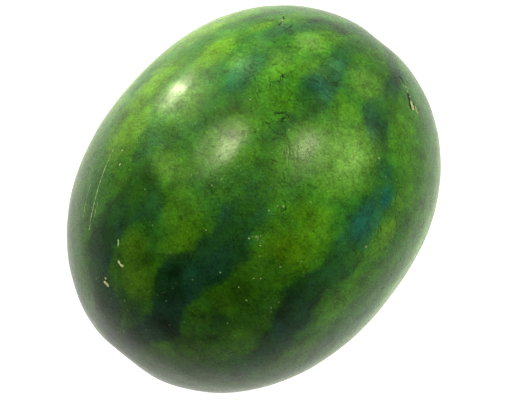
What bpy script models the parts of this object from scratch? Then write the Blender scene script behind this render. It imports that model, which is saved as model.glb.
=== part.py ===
"""A whole watermelon lying on its side, made as one closed solid.

Metres, +Z up. The melon's core line, from the stem end to the blossom end,
runs along X, with the blunt blossom end at +X. The melon rests on a small
flat at z = 0, and the origin is under the middle of its box.
"""

import math

import bmesh
import bpy
from mathutils import Matrix, Vector

# Size of the fruit, before its end hollows and its flat are made
LENGTH = 0.273
DIAMETER = 0.223

# Share of the length from the widest ring to the blossom end
BLOSSOM_SHARE = 0.496

# Fullness of each end: 2 is an ellipse, and more is blunter
BLOSSOM_FULLNESS = 2.18
STEM_FULLNESS = 2.08

# Shallow hollows round the two end scars
BLOSSOM_DIMPLE_DEPTH = 0.0012
BLOSSOM_DIMPLE_RADIUS = 0.009
STEM_DIMPLE_DEPTH = 0.0026
STEM_DIMPLE_RADIUS = 0.014

# Faint ribs along the fruit, which fade out towards its ends
RIB_COUNT = 9
RIB_RISE = 0.0003

# The flat that the fruit lies on
FLAT_DEPTH = 0.0025

# Fineness of the mesh
SEGMENTS_AROUND = 60
STEPS_PER_END = 20
MERGE_DISTANCE = 1e-6
SHARP_EDGE = math.radians(30.0)

# Finish
RIND_GREEN = (0.045, 0.155, 0.028, 1.0)
RIND_ROUGHNESS = 0.45
RIND_METALLIC = 0.0


def clear_objects():
    """Take every object out of the scene."""
    for old in list(bpy.data.objects):
        bpy.data.objects.remove(old, do_unlink=True)


def end_curve(reach, fullness):
    """Half of the outline, from the tip of one end to the widest ring.

    The points are (distance along the core line, distance from it).
    """
    power = 2.0 / fullness
    points = []
    for step in range(STEPS_PER_END + 1):
        turn = 0.5 * math.pi * step / STEPS_PER_END
        along = reach * max(math.cos(turn), 0.0) ** power
        away = 0.5 * DIAMETER * math.sin(turn) ** power
        points.append((along, away))
    return points


def outline():
    """The outline over the core line, from the blossom tip to the stem tip."""
    blossom_reach = LENGTH * BLOSSOM_SHARE
    blossom = end_curve(blossom_reach, BLOSSOM_FULLNESS)
    stem = end_curve(LENGTH - blossom_reach, STEM_FULLNESS)
    stem_side = [(-along, away) for along, away in reversed(stem[:-1])]
    return blossom + stem_side


def dimple(away, depth, radius):
    """Depth of an end hollow at a distance from the core line."""
    return depth * math.exp(-((away / radius) ** 2))


def spin_body(bm):
    """Turn the outline once round the core line into a closed skin."""
    verts = [bm.verts.new((along, 0.0, away)) for along, away in outline()]
    edges = [bm.edges.new(pair) for pair in zip(verts, verts[1:])]
    bmesh.ops.spin(
        bm,
        geom=verts + edges,
        cent=(0.0, 0.0, 0.0),
        axis=(1.0, 0.0, 0.0),
        angle=2.0 * math.pi,
        steps=SEGMENTS_AROUND,
        use_merge=True,
    )
    bmesh.ops.remove_doubles(bm, verts=bm.verts, dist=MERGE_DISTANCE)


def shape_skin(bm):
    """Raise the faint ribs and press in the two end hollows."""
    half_width = 0.5 * DIAMETER
    for vert in bm.verts:
        along, side, up = vert.co
        away = math.hypot(side, up)
        if along > 0.0:
            vert.co.x -= dimple(away, BLOSSOM_DIMPLE_DEPTH, BLOSSOM_DIMPLE_RADIUS)
        else:
            vert.co.x += dimple(away, STEM_DIMPLE_DEPTH, STEM_DIMPLE_RADIUS)
        if away > MERGE_DISTANCE:
            around = math.atan2(side, up)
            fade = (away / half_width) ** 2
            rise = RIB_RISE * fade * math.cos(RIB_COUNT * around)
            vert.co.y += rise * side / away
            vert.co.z += rise * up / away


def cut_flat(bm):
    """Cut the small flat across the underside and close it with one face."""
    lowest = min(vert.co.z for vert in bm.verts)
    cut = bmesh.ops.bisect_plane(
        bm,
        geom=bm.verts[:] + bm.edges[:] + bm.faces[:],
        dist=MERGE_DISTANCE,
        plane_co=(0.0, 0.0, lowest + FLAT_DEPTH),
        plane_no=(0.0, 0.0, 1.0),
        clear_inner=True,
    )
    rim = [item for item in cut["geom_cut"] if isinstance(item, bmesh.types.BMEdge)]
    bmesh.ops.edgenet_fill(bm, edges=rim)


def stand_on_origin(bm):
    """Put the middle of the box over the origin, with the flat at z = 0."""
    low = Vector(min(vert.co[axis] for vert in bm.verts) for axis in range(3))
    high = Vector(max(vert.co[axis] for vert in bm.verts) for axis in range(3))
    middle = 0.5 * (low + high)
    shift = Matrix.Translation((-middle.x, -middle.y, -low.z))
    bmesh.ops.transform(bm, matrix=shift, verts=bm.verts)


def rind_material():
    """Green rind, plain here."""
    material = bpy.data.materials.new("rind")
    material.use_nodes = True
    shader = material.node_tree.nodes["Principled BSDF"]
    shader.inputs["Base Color"].default_value = RIND_GREEN
    shader.inputs["Roughness"].default_value = RIND_ROUGHNESS
    shader.inputs["Metallic"].default_value = RIND_METALLIC
    return material


def make_watermelon():
    """Build the whole fruit as one object."""
    bm = bmesh.new()
    spin_body(bm)
    shape_skin(bm)
    cut_flat(bm)
    stand_on_origin(bm)
    bmesh.ops.recalc_face_normals(bm, faces=bm.faces)
    mesh = bpy.data.meshes.new("watermelon")
    bm.to_mesh(mesh)
    bm.free()
    mesh.shade_smooth()
    mesh.set_sharp_from_angle(angle=SHARP_EDGE)
    mesh.materials.append(rind_material())
    fruit = bpy.data.objects.new("watermelon", mesh)
    bpy.context.scene.collection.objects.link(fruit)


clear_objects()
make_watermelon()
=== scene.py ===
"""The looks of a whole watermelon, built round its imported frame.

The fruit lies on its side with its longest axis along X and its blunt blossom
end at +X. Its core line, which the stripes follow, leans a few degrees from
that axis. A place on the rind is given as (along, around) in degrees: along
runs from -90 at the stem end to 90 at the blossom end, and around turns about
the core line from 0 on top, with positive values on the -Y side.
"""

import logging
import math
from dataclasses import dataclass, field
from enum import Enum
from typing import Any

import bmesh
import bpy
import numpy as np
from mathutils import Matrix, Vector


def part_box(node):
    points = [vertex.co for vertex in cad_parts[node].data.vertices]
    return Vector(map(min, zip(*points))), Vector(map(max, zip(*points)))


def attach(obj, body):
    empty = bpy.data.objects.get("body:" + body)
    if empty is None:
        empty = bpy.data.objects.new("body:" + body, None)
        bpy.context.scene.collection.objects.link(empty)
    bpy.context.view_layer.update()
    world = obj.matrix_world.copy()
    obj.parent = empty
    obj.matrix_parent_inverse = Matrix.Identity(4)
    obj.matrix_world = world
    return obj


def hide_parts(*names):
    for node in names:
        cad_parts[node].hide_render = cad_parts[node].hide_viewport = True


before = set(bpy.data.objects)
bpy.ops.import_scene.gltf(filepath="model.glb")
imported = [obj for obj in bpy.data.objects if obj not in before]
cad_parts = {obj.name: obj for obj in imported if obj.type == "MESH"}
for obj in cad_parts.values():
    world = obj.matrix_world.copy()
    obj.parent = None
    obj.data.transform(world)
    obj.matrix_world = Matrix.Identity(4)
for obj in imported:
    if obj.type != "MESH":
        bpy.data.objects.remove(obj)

log = logging.getLogger("watermelon")

MM = 0.001
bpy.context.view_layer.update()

# Millimetres inside, where no stripe or light blotch is near
FAR_OUTSIDE = -50.0

Colour = tuple[float, float, float]
Place = tuple[float, float]


# ---------------------------------------------------------------- shader maths


class Wire:
    """One value in a shader, with the arithmetic that the finishes use."""

    def __init__(self, bench: "Bench", socket: bpy.types.NodeSocket) -> None:
        """Keep the socket and the bench that its node stands on.

        Args:
            bench: The node tree's wrapper.
            socket: An output socket.
        """
        self.bench = bench
        self.socket = socket

    def _maths(self, operation: str, *values: Any) -> "Wire":
        """Add one Math node over the given values."""
        sockets = dict(enumerate(values))
        return self.bench.add("ShaderNodeMath", {"operation": operation}, sockets)

    def __add__(self, other: Any) -> "Wire":
        """Sum of two values."""
        return self._maths("ADD", self, other)

    def __radd__(self, other: Any) -> "Wire":
        """Sum of a number and this value."""
        return self._maths("ADD", other, self)

    def __sub__(self, other: Any) -> "Wire":
        """This value less another."""
        return self._maths("SUBTRACT", self, other)

    def __rsub__(self, other: Any) -> "Wire":
        """A number less this value."""
        return self._maths("SUBTRACT", other, self)

    def __mul__(self, other: Any) -> "Wire":
        """Product of two values."""
        return self._maths("MULTIPLY", self, other)

    def __rmul__(self, other: Any) -> "Wire":
        """Product of a number and this value."""
        return self._maths("MULTIPLY", other, self)

    def most(self, other: Any) -> "Wire":
        """The larger of two values."""
        return self._maths("MAXIMUM", self, other)

    def limited(self) -> "Wire":
        """The value held between 0 and 1."""
        return self.bench.add("ShaderNodeClamp", {}, {"Value": self})

    def step(self, low: float, high: float) -> "Wire":
        """A smooth rise from 0 at low to 1 at high.

        Args:
            low: Where the rise starts.
            high: Where it ends. It may lie below low, for a fall.

        Returns:
            The risen value, from 0 to 1.
        """
        settings = {"interpolation_type": "SMOOTHSTEP"}
        sockets = {"Value": self, "From Min": low, "From Max": high}
        return self.bench.add("ShaderNodeMapRange", settings, sockets)


class Bench:
    """A material's node tree, and the ways to add nodes to it."""

    def __init__(self, name: str) -> None:
        """Start an empty material.

        Args:
            name: The material's name.
        """
        self.material = bpy.data.materials.new(name)
        self.material.use_nodes = True
        self.tree = self.material.node_tree
        self.tree.nodes.clear()
        metres = self.add("ShaderNodeTexCoord", output="Object")
        self.centimetres = self.add(
            "ShaderNodeVectorMath", {"operation": "SCALE"}, {0: metres, "Scale": 100.0}
        )

    def finish(self, shader: "Wire") -> None:
        """Send a shader to the material's surface."""
        output = self.tree.nodes.new("ShaderNodeOutputMaterial")
        self.feed(output.inputs["Surface"], shader)

    def add(
        self,
        kind: str,
        settings: dict[str, Any] | None = None,
        sockets: dict[Any, Any] | None = None,
        output: str | int = 0,
    ) -> Wire:
        """Add one node.

        Args:
            kind: The node's type.
            settings: Its properties, set before its sockets.
            sockets: Values or wires for its inputs, by name, identifier or number.
            output: The output that is wanted, by name, identifier or number.

        Returns:
            The wanted output.
        """
        node = self.tree.nodes.new(kind)
        for key, value in (settings or {}).items():
            setattr(node, key, value)
        for key, value in (sockets or {}).items():
            self.feed(self.find(node.inputs, key), value)
        return Wire(self, self.find(node.outputs, output))

    def find(self, sockets: Any, key: str | int) -> bpy.types.NodeSocket:
        """Find a socket, with identifiers tried before names.

        Args:
            sockets: A node's inputs or outputs.
            key: The socket's number, identifier or name.

        Returns:
            The socket.
        """
        if isinstance(key, int):
            return sockets[key]
        for socket in sockets:
            if socket.identifier == key:
                return socket
        return sockets[key]

    def feed(self, socket: bpy.types.NodeSocket, value: Any) -> None:
        """Set a socket, or link it.

        Args:
            socket: The input socket.
            value: A wire to link, or a number, colour or vector to set.
        """
        if isinstance(value, Wire):
            self.tree.links.new(value.socket, socket)
        elif isinstance(value, tuple) and socket.type == "RGBA":
            socket.default_value = (*value, 1.0)
        else:
            socket.default_value = value

    def shortened(self, factor: float) -> Wire:
        """The place in centimetres, with patterns made shorter along X by a factor."""
        return self.vector("MULTIPLY", self.centimetres, (factor, 1.0, 1.0))

    def along(self) -> Wire:
        """The place along X in centimetres."""
        return self.add("ShaderNodeSeparateXYZ", {}, {"Vector": self.centimetres}, "X")

    def vector(self, operation: str, first: Any, second: Any) -> Wire:
        """Vector Math on two vectors or colours."""
        return self.add("ShaderNodeVectorMath", {"operation": operation}, {0: first, 1: second})

    def blend(self, share: Any, first: Any, second: Any) -> Wire:
        """Mix two colours.

        Args:
            share: How much of the second colour shows.
            first: The colour at share 0.
            second: The colour that is mixed in.

        Returns:
            The mixed colour.
        """
        settings = {"data_type": "RGBA", "clamp_factor": True}
        sockets = {"Factor_Float": share, "A_Color": first, "B_Color": second}
        return self.add("ShaderNodeMix", settings, sockets, "Result_Color")

    def noise(self, place: Wire, scale: float, detail: float = 2.0, rough: float = 0.5,
              twist: float = 0.0) -> Wire:
        """Cloudy noise about 0.

        Args:
            place: Where it is read.
            scale: Its grain, in clouds per centimetre.
            detail: How many finer layers it has.
            rough: How strong the finer layers are.
            twist: How far it is drawn out into wisps.

        Returns:
            The noise, from about -0.5 to 0.5.
        """
        sockets = {
            "Vector": place,
            "Scale": scale,
            "Detail": detail,
            "Roughness": rough,
            "Distortion": twist,
        }
        return self.add("ShaderNodeTexNoise", {}, sockets, "Fac") - 0.5

    def cells(self, place: Wire, scale: float, soft: float = 0.0) -> Wire:
        """Distance from the nearest of many scattered points, in cells.

        Args:
            place: Where it is read.
            scale: How many points there are per centimetre.
            soft: How softly neighbouring cells flow together.

        Returns:
            The distance, as a share of a cell.
        """
        sockets = {"Vector": place, "Scale": scale}
        if soft:
            sockets["Smoothness"] = soft
        kind = "SMOOTH_F1" if soft else "F1"
        return self.add("ShaderNodeTexVoronoi", {"feature": kind}, sockets, "Distance")

    def edges(self, place: Wire, scale: float) -> Wire:
        """Distance from the borders between scattered cells, in cells.

        Args:
            place: Where it is read.
            scale: How many cells there are per centimetre.

        Returns:
            The distance, as a share of a cell.
        """
        settings = {"feature": "DISTANCE_TO_EDGE"}
        sockets = {"Vector": place, "Scale": scale}
        return self.add("ShaderNodeTexVoronoi", settings, sockets, "Distance")

    def warped(self, place: Wire, scale: float, reach: float) -> Wire:
        """A place pushed about by cloudy noise.

        Args:
            place: The place to push.
            scale: The noise's grain, in clouds per centimetre.
            reach: How far the pushes go, in centimetres.

        Returns:
            The pushed place.
        """
        sockets = {"Vector": place, "Scale": scale, "Detail": 2.0}
        cloud = self.add("ShaderNodeTexNoise", {}, sockets, "Color")
        push = self.vector("MULTIPLY", cloud, (reach, reach, reach))
        return self.vector("ADD", place, push)

    def painted(self, name: str) -> list[Wire]:
        """The three values painted on the mesh under one name.

        Args:
            name: The painted layer's name.

        Returns:
            The layer's values, in order.
        """
        spot = self.add("ShaderNodeAttribute", {"attribute_name": name}, output="Vector")
        split = self.add("ShaderNodeSeparateXYZ", {}, {"Vector": spot}).socket.node
        return [Wire(self, output) for output in split.outputs]


# -------------------------------------------------------------------- finishes


@dataclass(frozen=True)
class RindFinish:
    """Waxy striped rind, with corky scars, a creamy spot underneath, and some painted light and shade.
    """

    ground: Colour = (0.078, 0.318, 0.008)
    ground_cool: Colour = (0.048, 0.270, 0.036)
    light: Colour = (0.132, 0.440, 0.018)
    band: Colour = (0.018, 0.120, 0.022)
    band_cool: Colour = (0.022, 0.125, 0.075)
    deep: Colour = (0.0040, 0.0380, 0.0110)
    sage: Colour = (0.270, 0.530, 0.145)
    yellow: Colour = (1.55, 1.08, 0.05)
    # Bluish tint: partly the rind's own, partly a painted reflection
    teal: Colour = (0.08, 0.92, 3.60)
    cream: Colour = (0.62, 0.50, 0.20)
    cork: Colour = (0.78, 0.82, 0.46)
    fleck: Colour = (0.62, 0.80, 0.40)
    crack: Colour = (0.008, 0.040, 0.008)
    wood: Colour = (0.300, 0.215, 0.090)
    base_shine: float = 0.14
    base_roughness: float = 0.29
    wax: float = 0.18
    wax_roughness: float = 0.19
    relief: float = 0.00080
    # Painted shade: the stem half is darkened by up to this share, over this span along X in
    # centimetres
    stem_painted_shade: float = 0.48
    stem_shade_span: tuple[float, float] = (3.0, -9.0)
    dimmest: float = 0.15

    def material(self) -> bpy.types.Material:
        """Mix the finish.

        Returns:
            The rind's material.
        """
        bench = Bench("rind")
        wobble = bench.noise(bench.centimetres, 0.9, 3.0, 0.55)
        fray = bench.noise(bench.shortened(1.7), 2.4, 5.0, 0.62)
        band, light, veins = bench.painted("tone")
        deep, cream, force = bench.painted("wear")
        shade, wood, _ = bench.painted("shade")
        cork, pale, crack = self.chipped_marks(bench)
        net = self.net(bench, veins)

        colour = self.striped(bench, band, force, light, wobble, fray)
        colour = self.toned(bench, colour, deep, wobble, fray)
        bright = self.grey(bench, self.brightness(bench, shade))
        colour = bench.vector("MULTIPLY", colour, bright)
        colour = self.weathered(bench, colour, net, (cream + wobble * 0.6 * cream).limited())
        woody = (wood * (1.0 + wobble * 1.4 + fray)).limited()
        layers = ((crack, self.crack), (pale, self.fleck), (cork, self.cork), (woody, self.wood))
        for share, layer in layers:
            colour = bench.blend(share, colour, layer)
        bench.finish(self.shader(bench, colour, fray, net, cork, crack))
        return bench.material

    def chipped_marks(self, bench: Bench) -> list[Wire]:
        """The painted cork, pale and crack marks, with ragged edges."""
        chips = bench.noise(bench.centimetres, 12.0, 2.0)
        return [(mark + mark * chips * 2.2).step(0.18, 0.80) for mark in bench.painted("mark")]

    def striped(self, bench: Bench, band: Wire, force: Wire, light: Wire, wobble: Wire,
                fray: Wire) -> Wire:
        """The ground colour with its light blotches and dark stripes.

        Args:
            bench: The material's bench.
            band: Millimetres inside a stripe.
            force: The stripe's strength.
            light: Millimetres inside a light blotch.
            wobble: Broad noise that bends the edges.
            fray: Fine noise that frays them.

        Returns:
            The colour.
        """
        place = bench.centimetres
        lobes = 0.42 - bench.cells(place, 0.55, 0.35)
        small_lobes = 0.42 - bench.cells(place, 1.25, 0.3)
        edge = band + lobes * -6.0 + wobble * 9.0 + fray * 6.0
        in_band = (edge * (0.6 + force * 0.9)).step(-4.2, 4.2)
        ragged = lobes * 4.0 + small_lobes * 4.0 + wobble * 8.0 + fray * 6.0
        in_light = (light + ragged).step(-3.2, 4.4)
        cool = bench.noise(place, 0.33, 3.0, 0.6).step(-0.12, 0.14)
        colour = bench.blend(cool * 0.8, self.ground, self.ground_cool)
        colour = bench.blend(in_light * 0.6, colour, self.light)
        dark = bench.blend(cool, self.band, self.band_cool)
        return bench.blend(in_band * force * (1.0 - in_light * 0.25), colour, dark)

    def toned(self, bench: Bench, colour: Wire, deep: Wire, wobble: Wire, fray: Wire) -> Wire:
        """A colour with the painted deep, milky, yellowish and bluish places, some of which are painted
        reflection and painted sheen.

        Args:
            bench: The material's bench.
            colour: The colour so far.
            deep: The share of the darkest colour.
            wobble: Broad noise.
            fray: Fine noise.

        Returns:
            The toned colour.
        """
        yellow, teal, sage = bench.painted("tint")
        colour = bench.blend((deep + fray * 0.6 * deep).limited(), colour, self.deep)
        # Milky places, some of them painted reflection along the flanks and painted sheen round the
        # highlights
        milky = (sage * (0.7 + wobble + fray * 0.5)).limited()
        colour = bench.blend(milky, colour, self.sage)
        # Bluish places, partly a painted reflection
        colour = bench.blend(yellow, colour, self.tinted(bench, colour, self.yellow))
        return bench.blend(teal, colour, self.tinted(bench, colour, self.teal))

    def brightness(self, bench: Bench, shade: Wire) -> Wire:
        """How bright each place is: mottled, lighter and darker in the painted places, and darker
        towards the stem with painted shade.

        Args:
            bench: The material's bench.
            shade: The painted lighter and darker places, with a painted reflection along each flank.

        Returns:
            The factor that the colour is multiplied by.
        """
        # Painted shade: the colour darkens towards the stem end
        painted_stem_shade = bench.along().step(*self.stem_shade_span)
        bright = (1.0 + self.grain(bench)) * (1.0 - painted_stem_shade * self.stem_painted_shade)
        return (bright * (1.0 + shade)).most(self.dimmest)

    def weathered(self, bench: Bench, colour: Wire, net: Wire, creamy: Wire) -> Wire:
        """A colour with the fine veins, the tiny dots and the creamy ground spot.

        Args:
            bench: The material's bench.
            colour: The colour so far.
            net: The fine veins.
            creamy: The share of the ground spot's colour.

        Returns:
            The weathered colour.
        """
        pale_dots, dark_dots = self.dots(bench)
        colour = bench.blend(net, colour, self.crack)
        colour = bench.blend(pale_dots * 0.35, colour, self.fleck)
        colour = bench.blend(dark_dots * 0.6, colour, self.crack)
        return bench.blend(creamy, colour, self.cream)

    def shader(self, bench: Bench, colour: Wire, fray: Wire, net: Wire, cork: Wire,
               crack: Wire) -> Wire:
        """The waxy surface.

        Args:
            bench: The material's bench.
            colour: The finished colour.
            fray: Fine noise.
            net: The fine veins.
            cork: The corky marks.
            crack: The cracks.

        Returns:
            The shader.
        """
        pores = bench.noise(bench.centimetres, 6.0, 3.0, 0.75)
        height = pores * 0.6 + fray * 0.2 - net * 0.4 - crack * 0.6
        sockets = {"Strength": 0.6, "Distance": self.relief, "Height": height}
        bump = bench.add("ShaderNodeBump", {}, sockets, "Normal")
        surface = {
            "Base Color": colour,
            "Roughness": (self.base_roughness + pores * 0.2 + cork * 0.3 + crack * 0.2).limited(),
            "IOR": 1.45,
            "Specular IOR Level": self.base_shine,
            "Coat Weight": (self.wax * (1.0 + pores * 3.5 - cork - crack - net)).limited(),
            "Coat Roughness": self.wax_roughness,
            "Coat IOR": 1.8,
            "Normal": bump,
        }
        return bench.add("ShaderNodeBsdfPrincipled", {}, surface)

    def tinted(self, bench: Bench, colour: Wire, tint: Colour) -> Wire:
        """A colour multiplied by a tint."""
        return bench.vector("MULTIPLY", colour, tint)

    def grey(self, bench: Bench, value: Wire) -> Wire:
        """A value as a grey colour."""
        return bench.add("ShaderNodeCombineXYZ", {}, {"X": value, "Y": value, "Z": value})

    def grain(self, bench: Bench) -> Wire:
        """Mottling at several sizes.

        Args:
            bench: The material's bench.

        Returns:
            The change of brightness, about 0.
        """
        place = bench.centimetres
        drift = bench.noise(place, 0.8, 2.0)
        mottle = bench.noise(bench.shortened(1.5), 3.0, 4.0, 0.65, 0.4)
        granules = bench.edges(bench.warped(place, 3.0, 0.12), 3.9).step(0.0, 0.24)
        patchy = bench.noise(place, 0.9, 2.0).step(-0.14, 0.14)
        fine = bench.noise(place, 9.0, 3.0, 0.6)
        blobs = 0.40 - bench.cells(bench.warped(place, 1.6, 0.5), 0.95, 0.25)
        grainy = (granules - 0.75) * (0.08 + patchy * 0.16)
        return blobs * 0.55 + drift * 0.8 + mottle * 1.25 + grainy + fine

    def net(self, bench: Bench, veins: Wire) -> Wire:
        """Fine dark veins, strongest where they are painted.

        Args:
            bench: The material's bench.
            veins: The painted places where they show most.

        Returns:
            The share of dark vein at each place.
        """
        place = bench.warped(bench.shortened(1.5), 1.6, 0.55)
        wide = bench.edges(place, 1.0).step(0.055, 0.018)
        narrow = bench.edges(bench.warped(place, 4.0, 0.2), 2.6).step(0.070, 0.022)
        patchy = bench.noise(bench.centimetres, 1.3, 3.0, 0.6).step(-0.03, 0.16)
        broken = bench.noise(bench.centimetres, 2.7, 2.0).step(-0.06, 0.12)
        lines = wide * patchy + narrow * broken * 0.7
        return (lines * (0.34 + veins * 0.66)).limited()

    def dots(self, bench: Bench) -> tuple[Wire, Wire]:
        """Tiny dots, scattered thinly.

        Args:
            bench: The material's bench.

        Returns:
            The pale dots and the dark dots.
        """
        place = bench.centimetres
        some = bench.noise(place, 2.1, 1.0)
        pale = bench.cells(place, 2.3).step(0.16, 0.07) * some.step(0.06, 0.14)
        dark = bench.cells(place, 2.9).step(0.17, 0.06) * some.step(-0.05, -0.13)
        return pale, dark


@dataclass(frozen=True)
class FloorFinish:
    """Plain pale studio floor with a bright pool of light round its middle."""

    colour: Colour = (0.36, 0.36, 0.35)
    pool: Colour = (1.0, 1.0, 0.97)
    shade: Colour = (0.34, 0.34, 0.34)
    pool_edge: float = 24.5
    shade_edge: float = 60.0
    glow: float = 1.03

    def material(self) -> bpy.types.Material:
        """Mix the finish.

        Returns:
            The floor's material.
        """
        bench = Bench("studio_floor")
        sockets = {0: bench.centimetres}
        away = bench.add("ShaderNodeVectorMath", {"operation": "LENGTH"}, sockets, "Value")
        light = bench.blend(away.step(self.pool_edge, self.shade_edge), self.pool, self.shade)
        surface = {
            "Base Color": self.colour,
            "Roughness": 0.9,
            "Specular IOR Level": 0.1,
            "Emission Color": light,
            "Emission Strength": self.glow,
        }
        bench.finish(bench.add("ShaderNodeBsdfPrincipled", {}, surface))
        return bench.material


# ------------------------------------------------------------- marks and tones


class Kind(Enum):
    """What a mark on the rind is."""

    CORK = "cork"
    PALE = "pale"
    CRACK = "crack"
    WOOD = "wood"


class Tone(Enum):
    """What a patch of colour does to the rind."""

    LIGHT = "light"
    DEEP = "deep"
    SAGE = "sage"
    YELLOW = "yellow"
    TEAL = "teal"
    VEINS = "veins"
    SHADE = "shade"


@dataclass(frozen=True)
class Mark:
    """A small scar, scratch, crack or dot, drawn along a path on the rind."""

    kind: Kind
    path: tuple[Place, ...]
    width: float
    rise: float = 0.0
    strength: float = 1.0


@dataclass(frozen=True)
class Patch:
    """A patch of colour: its middle, and its half sizes along and around, in degrees."""

    tone: Tone
    along: float
    around: float
    tall: float
    wide: float
    strength: float = 1.0


@dataclass(frozen=True)
class Band:
    """A dark stripe, as (along, middle around, half width, strength) at stops along it."""

    stops: tuple[tuple[float, float, float, float], ...]

    def reading(self, along: np.ndarray) -> tuple[np.ndarray, np.ndarray, np.ndarray]:
        """The stripe's middle, half width and strength at each place along the fruit.

        Args:
            along: Degrees along the core line.

        Returns:
            The middle and the half width, both in degrees around, and the strength.
        """
        stops = np.array(sorted(self.stops))
        return tuple(np.interp(along, stops[:, 0], stops[:, part]) for part in (1, 2, 3))


SEEN_BANDS = (
    Band((
        (-70, -5, 8, 0.8), (-60, -4, 8, 0.9), (-53, 1, 7, 1.0), (-46, 5, 8, 1.0), (-38, -1, 7, 1.0),
        (-32, -3, 9, 1.0), (-26, -2, 9, 0.95), (-20, 3, 8, 0.9), (-12, 4, 8, 0.85), (-5, 1, 6, 0.8),
        (2, 2, 6, 0.6), (8, -3, 4, 0.5), (16, -8, 3, 0.5), (24, -8, 3, 0.5), (30, -6, 5, 0.65),
        (38, -9, 8, 0.75), (45, -9, 7, 0.65), (52, -12, 5, 0.7), (60, -14, 6, 0.7), (70, -13, 8, 0.5),
    )),
    Band((
        (-65, 50, 8, 0.2), (-50, 52, 6, 0.3), (-40, 51, 6, 0.45), (-32, 48, 6, 0.6), (-25, 45, 7, 0.8),
        (-18, 41, 8, 0.9), (-12, 37, 7, 0.95), (-6, 38, 6, 0.85), (2, 41, 7, 0.75), (8, 39, 7, 0.65),
        (15, 39, 6, 0.6), (22, 41, 5, 0.65), (28, 40, 4, 0.5), (33, 31, 4, 0.4), (40, 23, 8, 0.75),
        (47, 20, 7, 0.65), (52, 24, 4, 0.6), (60, 26, 6, 0.9), (72, 24, 10, 0.7),
    )),
    Band((
        (-65, -30, 12, 0.8), (-54, -30, 12, 0.9), (-46, -40, 8, 0.9), (-40, -42, 9, 1.0),
        (-33, -41, 8, 0.9), (-26, -40, 8, 0.7), (-20, -33, 10, 0.6), (-14, -34, 9, 0.5),
        (-8, -40, 5, 0.5), (0, -40, 4, 0.4), (10, -34, 5, 0.4), (19, -30, 7, 0.55), (26, -35, 4, 0.4),
        (34, -38, 5, 0.45), (40, -45, 4, 0.5), (46, -46, 5, 0.6), (52, -46, 4, 0.5),
        (58, -45, 7, 0.7), (65, -38, 13, 0.7), (74, -36, 14, 0.6),
    )),
    Band((
        (-60, -76, 7, 0.4), (-30, -76, 4, 0.3), (-12, -67, 4, 0.3), (-3, -66, 4, 0.3),
        (10, -74, 3, 0.1), (25, -67, 2, 0.1), (40, -68, 3, 0.2), (55, -68, 4, 0.2), (70, -72, 8, 0.5),
    )),
)


def patches(tone: Tone, *spots: tuple[float, ...]) -> tuple[Patch, ...]:
    """Patches of one tone, each given as the rest of its values in order."""
    return tuple(Patch(tone, *spot) for spot in spots)


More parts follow.
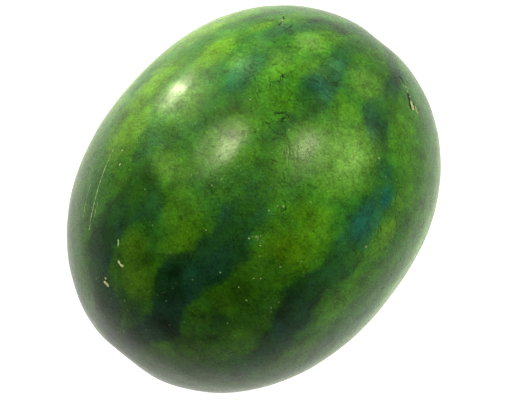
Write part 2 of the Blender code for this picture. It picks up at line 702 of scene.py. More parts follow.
SEEN_PATCHES = (
    # Light blotches
    *patches(
        Tone.LIGHT,
        (50, -30, 6, 9), (28, -41, 3.5, 5), (36, -42, 5, 6), (33, -28, 6, 6), (26, -54, 8, 8),
        (42, -55, 6, 4), (-6, -58, 10, 10), (-6, -32, 4, 8), (-13, -18, 8, 7), (-22, -11, 6, 8),
        (-31, -26, 6, 7), (-40, -17, 7, 9), (-45, -6, 3, 3), (-21, -37, 1.6, 2), (52, 8, 6, 12),
        (38, 8, 5, 7), (25, 17, 12, 13), (9, 24, 4, 5), (4, 26, 5, 7), (-2, 20, 6, 10), (-13, 15, 6, 5),
        (-27, 17, 4, 6), (-35, 12, 5, 7), (-34, 34, 6, 9), (-45, 33, 7, 9), (46, 40, 5, 10),
        (37, 40, 5, 10), (27, 52, 5, 6), (14, 51, 6, 5), (-8, 53, 8, 6), (5, 45, 2, 4),
        (-30, 60, 12, 9), (-56, 14, 5, 9), (-47, 22, 5, 6), (32, -77, 18, 9), (6, -65, 14, 7),
    ),
    # The darkest places in the stripes
    *patches(
        Tone.DEEP,
        (38, -12, 4, 5, 0.5), (-28, -6, 5, 5, 0.7), (-46, 5, 5, 8, 0.9), (-36, -1, 5, 6, 0.6),
        (-13, 34, 5, 4, 0.7), (-19, 36, 4, 4, 0.6), (67, -35, 4, 14, 0.6), (63, 27, 5, 6, 0.6),
        (40, 22, 3, 6, 0.4), (-51, -12, 4, 12, 0.5), (-61, -6, 4, 10, 0.5), (-31, 20, 2, 5, 0.6),
        (-39, 25, 2.5, 5, 0.5), (46, -66, 10, 5, 0.5), (-3, -65, 4, 4, 0.5), (-12, -35, 5, 5, 0.3),
        (61, -48, 3, 6, 0.6), (-35, -42, 6, 6, 0.35),
    ),
    # Milky places; the two long strips along the flanks near 85 degrees around on either side are
    # painted reflection, and those at (19, 2), (5, -18) and (10, -46) are painted sheen round the
    # highlights
    *patches(
        Tone.SAGE,
        (50, -30, 6, 10, 0.8), (38, -30, 6, 8, 0.4), (28, -38, 5, 8, 0.55), (-6, -31, 5, 9, 0.5),
        (52, 7, 7, 12, 0.45), (27, 19, 12, 14, 0.85), (19, 2, 9, 10, 0.35), (5, -18, 8, 6, 0.25),
        (49, -12, 5, 6, 0.3), (10, -46, 9, 10, 0.3), (8, -87, 50, 6, 0.8), (4, 82, 55, 7, 1.0),
        (44, -18, 8, 12, 0.3),
    ),
    # Yellowish places
    *patches(
        Tone.YELLOW,
        (26, -55, 9, 8, 0.9), (44, -56, 7, 5, 0.7), (-6, -58, 13, 12, 0.9), (-14, -58, 7, 7, 0.5),
        (-31, -25, 7, 8, 0.6), (-40, -18, 7, 10, 0.6), (-3, 20, 7, 10, 0.7), (8, 20, 6, 9, 0.45),
        (60, -32, 6, 14, 0.6), (17, 51, 9, 6, 0.6), (14, -22, 8, 10, 0.35), (-18, -10, 9, 9, 0.4),
        (55, -52, 6, 10, 0.4), (30, -77, 22, 11, 1.0), (-18, -74, 22, 9, 0.8), (3, -65, 20, 8, 1.0),
    ),
    # Bluish places: partly the rind's own tint, partly a painted bluish reflection
    *patches(
        Tone.TEAL,
        (24, 42, 5, 4, 0.95), (14, 38, 9, 7, 0.5), (38, -10, 7, 8, 0.35), (25, -37, 12, 9, 0.28),
        (50, -10, 8, 9, 0.3), (44, 21, 7, 9, 0.22), (-22, 42, 14, 8, 0.25), (2, 38, 8, 7, 0.25),
        (32, 38, 6, 8, 0.3),
    ),
    # Where the fine veins show most
    *patches(
        Tone.VEINS,
        (30, -20, 10, 12, 1.0), (40, -28, 8, 10, 0.6), (48, -45, 6, 8, 0.7), (12, -6, 10, 8, 0.5),
        (5, 6, 5, 8, 0.6), (18, 48, 12, 7, 0.6), (38, -14, 12, 16, 0.9), (22, -12, 9, 12, 0.8),
    ),
    # Lighter and darker places; the first two, long strips along the flanks near 85 degrees around on
    # either side, are painted reflection
    *patches(
        Tone.SHADE,
        (8, -87, 50, 7, 0.4), (4, 82, 55, 8, 0.7), (2, -65, 20, 9, 0.12), (-2, 17, 9, 9, -0.15),
        (-19, 17, 13, 13, -0.34), (-30, 18, 10, 10, -0.10), (27, 18, 15, 17, 0.24),
        (8, 25, 10, 12, 0.15), (16, -28, 8, 9, -0.22), (1, -45, 10, 10, 0.18), (10, 44, 18, 10, 0.30),
        (-12, 55, 20, 10, 0.30), (-38, 48, 12, 18, 0.30), (-55, 5, 8, 20, 0.18),
        (26, -57, 14, 12, 0.10), (66, 10, 10, 20, -0.20), (-28, -24, 10, 9, -0.12),
        (22, -18, 12, 10, -0.08),
    ),
)


def star(along: float, around: float, size: float = 1.0, start: float = 0.0) -> tuple[Mark, ...]:
    """A small star-shaped crack with thin pale rays.

    Args:
        along: Where its middle is, in degrees along.
        around: Where its middle is, in degrees around.
        size: Its size, where 1 is the largest.
        start: How far out its rays start, as a share of their reach.

    Returns:
        The marks that make it up.
    """
    rays = (
        (95, 3.2), (125, 1.8), (150, 2.8), (178, 1.6), (205, 3.6), (262, 2.6), (318, 4.0), (20, 2.8),
    )
    marks = [Mark(Kind.PALE, ((along, around),), 0.5, 0.1, 0.7 * size)]
    for turn, reach in rays:
        rise = 0.5 * size * reach * math.sin(math.radians(turn))
        drift = size * reach * math.cos(math.radians(turn))
        stops = tuple((along + part * rise, around + part * drift) for part in (start, 1.0))
        marks.append(Mark(Kind.PALE, stops, 0.30, 0.08, 0.6))
    return tuple(marks)


def burst(pole: float, disc: float, count: int, reach: float) -> tuple[Mark, ...]:
    """A woody scar at one end, with cracks that spread from it.

    Args:
        pole: The end, as degrees along.
        disc: The scar's radius in millimetres.
        count: How many cracks there are.
        reach: How far they go from the end, in degrees along.

    Returns:
        The marks that make it up.
    """
    draw = np.random.default_rng(count)
    way = -1.0 if pole > 0.0 else 1.0
    marks = [Mark(Kind.WOOD, ((pole, 0.0),), disc, 0.12 * disc)]
    for step in range(count):
        turn = 360.0 * step / count + draw.uniform(-12.0, 12.0)
        far = reach * draw.uniform(0.6, 1.0)
        stops = ((pole + way * 0.35 * disc, turn), (pole + way * far, turn + 3.0))
        marks.append(Mark(Kind.CORK, stops, 0.32, 0.10, 0.45))
        inner = ((pole + way * 0.2 * disc, turn + 14.0), (pole + way * 0.5 * disc, turn + 16.0))
        marks.append(Mark(Kind.CRACK, inner, 0.3, -0.30, 0.5))
    return tuple(marks)


def crease(width: float, strength: float, *path: Place) -> Mark:
    """A fine dark crease along a path."""
    return Mark(Kind.CRACK, path, width, -0.07, strength)


def dots(kind: Kind, width: float, *places: Place) -> tuple[Mark, ...]:
    """Small round marks of one kind and width."""
    return tuple(Mark(kind, (place,), width, 0.08, 0.65) for place in places)


END_MARKS = (*burst(-90.0, 5.5, 11, 6.5), *burst(90.0, 2.2, 7, 2.4))

SEEN_MARKS = (
    # The star-shaped crack near the blossom end, and the dark creases beside it
    *star(50.0, -54.0),
    Mark(Kind.PALE, ((49.4, -51.6), (48.4, -49.6), (48.9, -47.6), (49.0, -45.4)), 0.30, 0.04, 0.5),
    Mark(Kind.CRACK, ((51.6, -58.5), (50.8, -55.5), (49.0, -52.0), (47.4, -50.5)), 0.6, -0.15, 0.85),
    Mark(Kind.CRACK, ((51.0, -47.0), (49.6, -45.8), (48.0, -45.0)), 0.5, -0.1, 0.8),
    # Corky scars at the blossom end's lower side
    Mark(Kind.CRACK, ((60.0, 39.6), (58.8, 39.9), (57.6, 41.2), (56.6, 41.3), (55.6, 42.6)),
         1.2, -0.25, 0.9),
    Mark(Kind.CORK, ((58.0, 42.2), (57.1, 42.6), (56.6, 43.6)), 0.9, 0.45),
    Mark(Kind.CORK, ((56.5, 43.4), (56.0, 43.9)), 1.3, 0.5),
    Mark(Kind.CRACK, ((57.9, 45.0), (57.0, 45.5), (56.4, 46.8)), 0.7, -0.1, 0.7),
    Mark(Kind.PALE, ((57.4, 46.9), (56.4, 47.4), (55.5, 48.9)), 0.6, 0.2, 0.9),
    Mark(Kind.CRACK, ((66.0, 30.0), (65.2, 33.0), (64.2, 34.6), (63.8, 37.0)), 0.8, -0.1, 0.6),
    *dots(Kind.CORK, 0.75, (63.1, 37.4), (61.6, 38.9), (59.9, 41.2)),
    # Corky scars on the stem end's upper side
    Mark(Kind.CORK, ((-38.2, -29.2), (-38.7, -27.6), (-38.6, -26.6)), 0.8, 0.3),
    Mark(Kind.CRACK, ((-39.4, -28.4), (-39.8, -27.0)), 0.5, -0.1, 0.7),
    Mark(Kind.CORK, ((-48.1, -33.2), (-48.4, -31.0)), 1.1, 0.4),
    Mark(Kind.CRACK, ((-47.4, -32.4), (-49.6, -30.8)), 0.6, -0.1, 0.6),
    Mark(Kind.CORK, ((-46.6, -33.4),), 0.8, 0.25, 0.9),
    Mark(Kind.PALE, ((-32.4, -33.6), (-33.8, -32.6)), 0.45, 0.1),
    # Long scratches down the upper flank
    Mark(Kind.PALE, ((-12.0, -58.0), (-19.0, -56.6), (-26.0, -55.0), (-32.0, -53.6), (-36.0, -52.2)),
         0.42, 0.05, 0.6),
    Mark(Kind.PALE, ((-24.0, -62.0), (-30.0, -61.0), (-35.0, -59.5)), 0.40, 0.05, 0.45),
    Mark(Kind.PALE, ((-27.0, -52.4), (-32.0, -51.2)), 0.40, 0.05, 0.5),
    Mark(Kind.PALE, ((-31.0, -3.0), (-34.0, -2.6)), 0.30, 0.03, 0.40),
    Mark(Kind.PALE, ((-35.6, -4.0), (-39.0, -6.2)), 0.30, 0.03, 0.40),
    # Dark creases over the top
    crease(0.36, 0.60, (38.5, -21.0), (37.1, -21.4), (36.0, -22.6), (34.0, -23.0), (32.2, -21.2),
           (31.0, -20.2)),
    crease(0.34, 0.50, (36.0, -22.6), (35.8, -24.4), (35.0, -26.0)),
    crease(0.34, 0.55, (28.4, -26.2), (28.3, -24.9), (27.6, -23.8)),
    crease(0.33, 0.50, (24.4, -27.0), (24.5, -24.8), (23.6, -23.0), (24.4, -20.6), (24.2, -18.4)),
    crease(0.33, 0.50, (31.0, -20.2), (30.1, -18.6), (28.6, -18.2), (27.4, -15.0)),
    crease(0.33, 0.50, (22.4, -18.0), (22.5, -16.2), (21.6, -14.4)),
    crease(0.36, 0.55, (46.4, 10.8), (45.5, 12.4), (44.0, 12.4), (42.4, 14.4), (41.2, 15.2)),
    crease(0.36, 0.55, (33.0, -9.0), (31.6, -8.9), (30.4, -7.6), (29.3, -6.4), (28.8, -4.4)),
    crease(0.33, 0.50, (35.6, -5.6), (34.0, -4.8), (32.0, -2.6), (30.2, -1.0)),
    crease(0.32, 0.50, (18.4, -2.6), (17.2, -0.6), (15.8, 0.4), (13.9, 2.4), (12.6, 2.5)),
    crease(0.32, 0.45, (19.6, 0.6), (18.4, 1.4), (17.0, 3.2), (15.0, 4.2), (13.6, 5.6)),
    Mark(Kind.PALE, ((17.6, -3.8), (16.4, -2.9), (14.6, -1.4)), 0.30, 0.04, 0.45),
    Mark(Kind.PALE, ((19.0, 4.6), (18.1, 6.0), (16.6, 7.2)), 0.30, 0.04, 0.4),
    # Dark arcs along the lower flank
    Mark(Kind.CRACK, ((27.0, 45.4), (22.4, 48.2), (18.6, 53.8)), 0.45, -0.06, 0.6),
    Mark(Kind.CRACK, ((14.4, 47.4), (9.6, 47.2), (4.2, 46.2), (0.0, 49.6)), 0.45, -0.06, 0.55),
    # Rough star patch in the middle
    *star(-5.6, 10.2, 0.75, 0.45),
    Mark(Kind.CRACK, ((-8.6, 8.0), (-9.6, 11.0), (-9.0, 13.4)), 0.40, -0.05, 0.5),
    Mark(Kind.CRACK, ((6.8, 9.0), (5.4, 11.2), (4.0, 10.4)), 0.45, -0.06, 0.7),
    *dots(Kind.PALE, 0.75, (32.2, 30.5), (9.4, 45.3), (5.6, 9.8), (-14.0, -50.0), (-10.5, -53.0)),
    *dots(Kind.PALE, 0.50, (-8.0, 22.5), (-14.0, 20.0), (-15.2, 18.0), (-20.0, 16.3), (-21.7, 22.0),
          (-20.0, 7.5), (-12.8, -6.0), (-31.3, 23.5), (-37.0, 23.5), (-19.0, 31.0), (-49.0, -18.7),
          (-51.5, -15.0), (-7.0, 7.4), (-5.6, 9.0), (-6.6, 12.0), (2.4, 6.8), (-2.0, -14.0)),
    *dots(Kind.CRACK, 0.55, (37.0, 15.0), (46.0, 39.5), (30.0, 34.0), (-13.4, 21.4), (12.0, -2.4)),
)


# ------------------------------------------------------------------- the fruit


@dataclass
class Melon:
    """The whole fruit's skin: its shape, its relief and what is painted on it.

    Lengths are in millimetres until the mesh is written.
    """

    low: Vector
    high: Vector
    blossom_share: float = 0.496
    blossom_fullness: float = 2.18
    stem_fullness: float = 2.08
    lean: float = 8.0
    roll: float = 6.3
    raised: float = 0.13
    stem_hollow: tuple[float, float] = (2.4, 15.0)
    blossom_hollow: tuple[float, float] = (1.2, 10.0)
    ground_spot: tuple[float, float, float] = (0.05, 0.1, -1.0)
    ground_spot_reach: float = 0.62
    cuts: int = 108
    refined_margins: tuple[float, float] = (2.0, 0.0)
    refined_reach: float = 2.0
    refined_spacing: float = 1.5
    mark_spacing: float = 0.6
    mark_edge: float = 0.5
    mark_raggedness: float = 0.12
    mark_margin: float = 4.0
    patch_reach: float = 1.25
    patch_fall: float = 1.3
    hidden_middles: tuple[float, ...] = (98.0, 128.0, 160.0, 194.0, 226.0, 256.0)
    seed: int = 7
    bands: tuple[Band, ...] = SEEN_BANDS
    patches: tuple[Patch, ...] = SEEN_PATCHES
    marks: tuple[Mark, ...] = SEEN_MARKS + END_MARKS
    finish: RindFinish = field(default_factory=RindFinish)

    def __post_init__(self) -> None:
        """Work out the fruit's sizes from its packed box."""
        size = (self.high - self.low) / MM
        self.blossom_reach = size.x * self.blossom_share
        self.stem_reach = size.x - self.blossom_reach
        self.half_width = 0.5 * size.y
        self.middle_height = size.z - self.half_width
        self.shift = self.low.x / MM + self.stem_reach
        lean = math.radians(self.lean)
        self.core = np.array((math.cos(lean), 0.0, math.sin(lean)))
        self.top = np.array((-math.sin(lean), 0.0, math.cos(lean)))

    def direction(self, along: Any, around: Any) -> np.ndarray:
        """Unit directions of places on the rind.

        Args:
            along: Degrees along the core line.
            around: Degrees around it.

        Returns:
            One row for each place.
        """
        along = np.radians(np.atleast_1d(along))
        around = np.radians(np.atleast_1d(around) + self.roll)
        side = np.array((0.0, -1.0, 0.0))
        across = np.cos(around)[:, None] * self.top + np.sin(around)[:, None] * side
        seen = np.sin(along)[:, None] * self.core + np.cos(along)[:, None] * across
        lift = seen @ self.zero() * self.raised
        reach = np.sqrt(lift**2 + 1.0 - self.raised**2) - lift
        return self.zero() * self.raised + seen * reach[:, None]

    def zero(self) -> np.ndarray:
        """The unit direction of the place at 0 along and 0 around."""
        roll = math.radians(self.roll)
        return math.cos(roll) * self.top + math.sin(roll) * np.array((0.0, -1.0, 0.0))

    def reading(self, unit: np.ndarray) -> tuple[np.ndarray, np.ndarray]:
        """Degrees along and around for unit directions.

        They are turned about a point raised a little above the core line.

        Args:
            unit: Unit directions from the fruit's middle.

        Returns:
            The degrees along and the degrees around.
        """
        seen = unit - self.zero() * self.raised
        seen = seen / np.linalg.norm(seen, axis=1)[:, None]
        along = np.degrees(np.arcsin(np.clip(seen @ self.core, -1.0, 1.0)))
        around = np.degrees(np.arctan2(-seen[:, 1], seen @ self.top)) - self.roll
        return along, around

    def skin(self, unit: np.ndarray) -> np.ndarray:
        """Places on the smooth skin.

        Args:
            unit: Unit directions from the fruit's middle.

        Returns:
            The places, in millimetres.
        """
        sine = unit[:, 0]
        cosine = np.sqrt(np.clip(1.0 - sine**2, 0.0, 1.0))
        blossom = sine > 0.0
        power = 2.0 / np.where(blossom, self.blossom_fullness, self.stem_fullness)
        reach = np.where(blossom, self.blossom_reach, -self.stem_reach)
        ring = self.half_width * cosine**power / np.maximum(cosine, 1e-9)
        x = reach * np.abs(sine) ** power + self.shift
        return np.stack((x, unit[:, 1] * ring, unit[:, 2] * ring + self.middle_height), axis=1)

    def build(self) -> bpy.types.Object:
        """Make, shape and paint the skin.

        Returns:
            The finished fruit.
        """
        bm = self.sphere()
        self.refine(bm)
        unit = np.array([vert.co for vert in bm.verts])
        unit /= np.linalg.norm(unit, axis=1)[:, None]
        places = self.skin(unit)
        outward = self.outward(places)
        marks = self.marks_on(places)
        height = self.lumps(places) + self.ends(unit) + marks.pop("rise")
        places = places + outward * height[:, None]
        places[:, 2] = self.settled(places[:, 2])
        for vert, place in zip(bm.verts, places * MM):
            vert.co = place
        bmesh.ops.recalc_face_normals(bm, faces=bm.faces)
        mesh = bpy.data.meshes.new("whole_watermelon")
        bm.to_mesh(mesh)
        bm.free()
        mesh.shade_smooth()
        self.paint(mesh, unit, marks)
        mesh.materials.append(self.finish.material())
        fruit = bpy.data.objects.new("whole_watermelon", mesh)
        bpy.context.scene.collection.objects.link(fruit)
        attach(fruit, "root")
        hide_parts("watermelon")
        return fruit

    def sphere(self) -> bmesh.types.BMesh:
        """Swell a cut-up cube into a sphere of even quads.

        Returns:
            The unit sphere.
        """
        bm = bmesh.new()
        bmesh.ops.create_cube(bm, size=2.0)
        bmesh.ops.subdivide_edges(bm, edges=bm.edges, cuts=self.cuts, use_grid_fill=True)
        for vert in bm.verts:
            vert.co = Vector(math.tan(0.25 * math.pi * part) for part in vert.co).normalized()
        return bm

    def refine(self, bm: bmesh.types.BMesh) -> None:
        """Cut the faces near each mark finer, twice.

        Args:
            bm: The sphere, which is changed in place.
        """
        spots = []
        for mark in self.marks:
            path = self.path(mark.path, self.refined_spacing)
            reach = mark.width + self.refined_reach
            spots += [(place, reach) for place in path]
        centres = np.array([place for place, _ in spots])
        reaches = np.array([reach for _, reach in spots])
        for margin in self.refined_margins:
            faces = list(bm.faces)
            unit = np.array([face.calc_center_median() for face in faces])
            unit /= np.linalg.norm(unit, axis=1)[:, None]
            places = self.skin(unit)
            near = np.zeros(len(faces), bool)
            for centre, reach in zip(centres, reaches):
                near |= np.linalg.norm(places - centre, axis=1) < reach + margin
            edges = {edge for face, close in zip(faces, near) if close for edge in face.edges}
            bmesh.ops.subdivide_edges(bm, edges=list(edges), cuts=1, use_grid_fill=True)

    def path(self, stops: tuple[Place, ...], spacing: float) -> np.ndarray:
        """Places on the skin along a path.

        Args:
            stops: The path's stops, as (along, around).
            spacing: How far apart the places may lie, in millimetres.

        Returns:
            The places, in millimetres.
        """
        unit = self.direction([stop[0] for stop in stops], [stop[1] for stop in stops])
        places = self.skin(unit)
        points = [places[0]]
        for first, second in zip(range(len(unit)), range(1, len(unit))):
            count = max(1, math.ceil(np.linalg.norm(places[second] - places[first]) / spacing))
            for step in range(1, count + 1):
                share = step / count
                mixed = unit[first] * (1.0 - share) + unit[second] * share
                points.append(self.skin((mixed / np.linalg.norm(mixed))[None])[0])
        return np.array(points)

    def outward(self, places: np.ndarray) -> np.ndarray:
        """Unit vectors that point straight out of the skin, near enough.

        Args:
            places: Places on the skin, in millimetres.

        Returns:
            One row for each place.
        """
        middle = np.array((self.shift, 0.0, self.middle_height))
        reach = 0.5 * (self.blossom_reach + self.stem_reach)
        slope = (places - middle) / np.array((reach, self.half_width, self.half_width)) ** 2
        return slope / np.linalg.norm(slope, axis=1)[:, None]

    def waves(self, places: np.ndarray, length: float, count: int, salt: int) -> np.ndarray:
        """Smooth lumpy noise made of crossing waves.

        Args:
            places: Where it is read, in millimetres.
            length: The waves' length, in millimetres.
            count: How many waves cross.
            salt: A number that sets this noise apart from others.

        Returns:
            The noise, with a spread of about 1.
        """
        draw = np.random.default_rng(self.seed * 1000 + salt)
        total = np.zeros(len(places))
        for _ in range(count):
            way = draw.normal(size=3)
            way *= 2.0 * math.pi / (length * draw.uniform(0.75, 1.35) * np.linalg.norm(way))
            total += np.cos(places @ way + draw.uniform(0.0, 2.0 * math.pi))
        return total * math.sqrt(2.0 / count)

    def lumps(self, places: np.ndarray) -> np.ndarray:
        """The skin's gentle unevenness.

        Args:
            places: Places on the skin, in millimetres.

        Returns:
            How far each place is raised, in millimetres.
        """
        broad = self.waves(places, 75.0, 14, 1) * 0.16
        middling = self.waves(places, 24.0, 30, 2) * 0.05
        fine = self.waves(places, 9.0, 40, 3) * 0.014
        return broad + middling + fine

    def ends(self, unit: np.ndarray) -> np.ndarray:
        """Hollows at the two ends.

        Args:
            unit: Unit directions from the fruit's middle.

        Returns:
            How far each place is raised, which is below 0, in millimetres.
        """
        along, _ = self.reading(unit)
        total = np.zeros(len(unit))
        for side, (depth, radius) in ((1.0, self.blossom_hollow), (-1.0, self.stem_hollow)):
            away = 2.0 * (90.0 - side * along)
            total -= depth * np.exp(-((away / radius) ** 2))
        return total

    def settled(self, height: np.ndarray) -> np.ndarray:
        """Heights with the underside pressed flat on the floor."""
        soft = 0.5
        return 0.5 * (height + np.sqrt(height**2 + soft**2))

    def marks_on(self, places: np.ndarray) -> dict[str, np.ndarray]:
        """Draw every mark.

        Args:
            places: The skin's places, in millimetres.

        Returns:
            The strength of each kind of mark at each place, and their rise.
        """
        drawn = {kind.value: np.zeros(len(places)) for kind in Kind}
        drawn["rise"] = np.zeros(len(places))
        edge = self.waves(places, 2.4, 30, 9)
        for mark in self.marks:
            path = self.path(mark.path, self.mark_spacing)
            length = np.linalg.norm(path - path[0], axis=1).max()
            reach = length + mark.width + self.mark_margin
            near = np.flatnonzero(np.linalg.norm(places - path[0], axis=1) < reach)
            gap = np.linalg.norm(places[near, None] - path[None], axis=2).min(axis=1)
            inside = mark.width - gap + self.mark_raggedness * mark.width * edge[near]
            share = np.clip(inside / self.mark_edge + 0.5, 0.0, 1.0)
            kept = drawn[mark.kind.value]
            kept[near] = np.maximum(kept[near], share * mark.strength)
            drawn["rise"][near] += mark.rise * np.exp(-((gap / mark.width) ** 2))
        return drawn

    def paint(self, mesh: bpy.types.Mesh, unit: np.ndarray, marks: dict[str, np.ndarray]) -> None:
        """Paint the stripes, patches and marks on the mesh's points.

        Args:
            mesh: The finished mesh.
            unit: Each point's unit direction.
            marks: The strength of each kind of mark at each point.
        """
        along, around = self.reading(unit)
        band, force = self.band_depth(along, around)
        tones = self.tones(along, around)
        away = np.linalg.norm(unit - np.array(self.ground_spot), axis=1)
        below = 1.0 - away / self.ground_spot_reach
        cream = np.clip(below * 2.0, 0.0, 1.0)
        layers = {
            "tone": (band, tones["light"], tones["veins"]),
            "tint": (tones["yellow"], tones["teal"], tones["sage"]),
            "mark": (marks["cork"], marks["pale"], marks["crack"]),
            "wear": (tones["deep"], cream, force),
            "shade": (tones["shade"], marks["wood"], np.zeros(len(unit))),
        }
        for name, parts in layers.items():
            layer = mesh.attributes.new(name, "FLOAT_VECTOR", "POINT")
            layer.data.foreach_set("vector", np.stack(parts, axis=1).astype(np.float32).ravel())

    def millimetres(self, along: np.ndarray, degrees: np.ndarray) -> np.ndarray:
        """Degrees around, as millimetres over the skin."""
        return np.radians(degrees) * np.cos(np.radians(along)) * self.half_width

    def turn_between(self, first: np.ndarray, second: Any) -> np.ndarray:
        """The shorter way round between two turns, in degrees."""
        return np.abs((first - second + 180.0) % 360.0 - 180.0)

    def band_depth(self, along: np.ndarray, around: np.ndarray) -> tuple[np.ndarray, np.ndarray]:
        """How far inside a dark stripe each place lies, and how strong the stripe is.

        Args:
            along: Degrees along the core line.
            around: Degrees around it.

        Returns:
            The depth in millimetres, and the strength from 0 to 1.
        """
        deepest = np.full(len(along), FAR_OUTSIDE)
        strength = np.zeros(len(along))
        for band in (*self.bands, *self.hidden_bands()):
            middle, half, force = band.reading(along)
            inside = self.millimetres(along, half - self.turn_between(around, middle))
            strength = np.where(inside > deepest, force, strength)
            deepest = np.maximum(deepest, inside)
        return deepest, strength

    def hidden_bands(self) -> list[Band]:
        """Stripes for the sides that the listed ones leave bare.

        Returns:
            The stripes.
        """
        draw = np.random.default_rng(self.seed)
        bands = []
        for middle in self.hidden_middles:
            stops = []
            for along in range(-80, 81, 8):
                drift = 3.0 * math.sin(math.radians(along * 4.0 + middle * 3.0))
                centre = middle + drift + draw.normal(0.0, 2.0)
                stops.append((along, centre, draw.uniform(4.0, 9.0), draw.uniform(0.6, 1.0)))
            bands.append(Band(tuple(stops)))
        return bands

    def tones(self, along: np.ndarray, around: np.ndarray) -> dict[str, np.ndarray]:
        """The patches' values at each place.

        Args:
            along: Degrees along the core line.
            around: Degrees around it.

        Returns:
            For the light tone, millimetres inside a patch; for others, a share.
        """
        tones = {tone.value: np.zeros(len(along)) for tone in Tone}
        tones["light"] += FAR_OUTSIDE
        for patch in (*self.patches, *self.hidden_patches()):
            reach = self.turn_between(around, patch.around) / patch.wide
            squeeze = np.cos(np.radians(along)) / math.cos(math.radians(patch.along))
            away = np.hypot((along - patch.along) / patch.tall, reach * squeeze)
            name = patch.tone.value
            if patch.tone is Tone.LIGHT:
                inside = (1.0 - away) * 2.0 * min(patch.tall, patch.wide)
                tones[name] = np.maximum(tones[name], inside)
            else:
                near = np.clip(self.patch_reach - away, 0.0, 1.0)
                share = patch.strength * near**self.patch_fall
                if patch.tone is Tone.SHADE:
                    tones[name] += share
                else:
                    tones[name] = np.maximum(tones[name], share)
        return tones

    def hidden_patches(self) -> list[Patch]:
        """Patches for the sides that the listed ones leave bare.

        Returns:
            The patches.
        """
        draw = np.random.default_rng(self.seed + 1)
        found = []
        counts = ((Tone.LIGHT, 60), (Tone.DEEP, 16), (Tone.SAGE, 12), (Tone.YELLOW, 14),
                  (Tone.TEAL, 10), (Tone.VEINS, 12))
        for tone, count in counts:
            for _ in range(count):
                along = math.degrees(math.asin(draw.uniform(-0.93, 0.93)))
                around = draw.uniform(72.0, 280.0)
                tall = draw.uniform(3.0, 8.0)
                wide = tall * draw.uniform(0.9, 1.7)
                found.append(Patch(tone, along, around, tall, wide, draw.uniform(0.3, 0.7)))
        return found


# ------------------------------------------------------------------ the studio


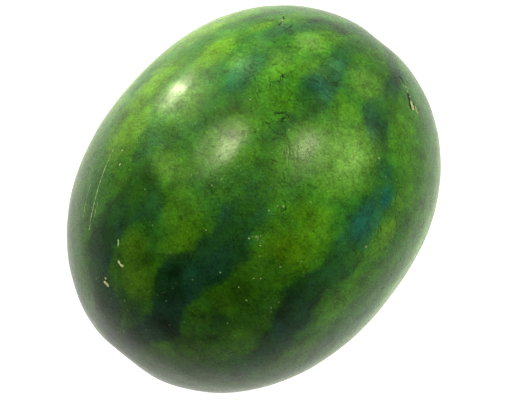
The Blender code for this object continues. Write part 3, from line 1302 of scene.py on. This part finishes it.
@dataclass
class Studio:
    """Pale floor, soft lights and the camera."""

    target: Vector
    view_turn: float = 50.4
    camera_height: float = 80.0
    lens: float = 90.0
    sensor_width: float = 36.0
    distance: float = 0.854
    floor_size: float = 6.0
    nudge_right: float = 0.0019
    nudge_down: float = 0.0005
    lamp: Colour = (1.0, 0.97, 0.66)
    air: Colour = (1.0, 0.99, 0.82)
    horizon_glow: float = 0.24
    zenith_glow: float = 0.03
    zenith_height: float = 0.5

    def build(self) -> None:
        """Set up everything round the fruit."""
        self.set_camera()
        self.lay_floor()
        self.hang_lights()
        self.set_world()

    def set_camera(self) -> None:
        """Look down on the fruit, with its blossom end at the upper right."""
        height = math.radians(self.camera_height)
        turn = -math.atan(math.tan(math.radians(self.view_turn)) / math.sin(height))
        self.right = Vector((math.cos(turn), math.sin(turn), 0.0))
        self.back = Vector(
            (math.sin(turn) * math.cos(height), -math.cos(turn) * math.cos(height), math.sin(height))
        )
        self.up = self.back.cross(self.right)
        data = bpy.data.cameras.new("camera")
        data.lens = self.lens
        data.sensor_width = self.sensor_width
        camera = bpy.data.objects.new("camera", data)
        frame_axes = Matrix((self.right, self.up, self.back)).transposed().to_4x4()
        nudge = self.right * self.nudge_right - self.up * self.nudge_down
        place = self.target + self.back * self.distance + nudge
        camera.matrix_world = Matrix.Translation(place) @ frame_axes
        bpy.context.scene.collection.objects.link(camera)
        bpy.context.scene.camera = camera

    def lay_floor(self) -> None:
        """A plain pale floor under the fruit."""
        bm = bmesh.new()
        bmesh.ops.create_grid(bm, x_segments=1, y_segments=1, size=0.5 * self.floor_size)
        mesh = bpy.data.meshes.new("studio_floor")
        bm.to_mesh(mesh)
        bm.free()
        mesh.materials.append(FloorFinish().material())
        floor = bpy.data.objects.new("studio_floor", mesh)
        bpy.context.scene.collection.objects.link(floor)

    def hang_lights(self) -> None:
        """Soft lights, placed by where they stand as the camera sees it."""
        lights = (
            ("window", (128, -4), 2.2, (0.11, 0.46), 16.0),
            ("window_glow", (127, 0), 2.2, (0.50, 1.60), 6.5),
            ("left_box", (117, 53), 1.8, (0.24, 0.30), 5.8),
            ("left_glow", (122, 50), 1.8, (0.62, 0.70), 5.2),
            ("right_box", (42, 55), 1.8, (0.26, 0.32), 4.0),
            ("right_glow", (36, 56), 1.8, (0.70, 0.75), 5.0),
            ("fill", (118, 14), 3.0, (4.0, 4.0), 18.0),
            ("right_fill", (39, 17), 3.0, (3.0, 3.0), 10.0),
        )
        for light in lights:
            self.hang(*light)

    def hang(self, name: str, way: tuple[float, float], distance: float,
             size: tuple[float, float], power: float) -> None:
        """Hang one soft light.

        Args:
            name: The light's name.
            way: Its direction from the fruit: degrees round the view from the right,
                then degrees lifted towards the camera.
            distance: How far off it hangs, in metres.
            size: Its width and height in metres.
            power: Its power in watts.
        """
        data = bpy.data.lights.new(name, "AREA")
        data.shape = "ELLIPSE"
        data.size = size[0]
        data.size_y = size[1]
        data.energy = power
        data.color = self.lamp
        light = bpy.data.objects.new(name, data)
        bearing, lift = (math.radians(turn) for turn in way)
        across = self.right * math.cos(bearing) + self.up * math.sin(bearing)
        direction = across * math.cos(lift) + self.back * math.sin(lift)
        light.location = self.target + direction * distance
        light.rotation_mode = "QUATERNION"
        light.rotation_quaternion = direction.to_track_quat("Z", "Y")
        bpy.context.scene.collection.objects.link(light)

    def set_world(self) -> None:
        """Dim light from all round, palest at the horizon, and plain colour handling."""
        world = bpy.data.worlds.new("studio_air")
        world.use_nodes = True
        nodes = world.node_tree.nodes
        place = nodes.new("ShaderNodeTexCoord")
        split = nodes.new("ShaderNodeSeparateXYZ")
        rise = nodes.new("ShaderNodeMapRange")
        rise.inputs["From Max"].default_value = self.zenith_height
        rise.inputs["To Min"].default_value = self.horizon_glow
        rise.inputs["To Max"].default_value = self.zenith_glow
        background = nodes["Background"]
        background.inputs["Color"].default_value = (*self.air, 1.0)
        links = world.node_tree.links
        links.new(place.outputs["Generated"], split.inputs["Vector"])
        links.new(split.outputs["Z"], rise.inputs["Value"])
        links.new(rise.outputs["Result"], background.inputs["Strength"])
        scene = bpy.context.scene
        scene.world = world
        scene.view_settings.view_transform = "Standard"


def main() -> None:
    """Build the fruit and the studio round it."""
    logging.basicConfig(level=logging.INFO, format="%(name)s: %(message)s")
    low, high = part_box("watermelon")
    fruit = Melon(low, high).build()
    log.info("fruit: %d points, %d faces", len(fruit.data.vertices), len(fruit.data.polygons))
    Studio(Vector((0.0, 0.0, 0.5 * (low.z + high.z)))).build()
    log.info("studio: floor, lights and camera")


if __name__ == "__main__":
    main()
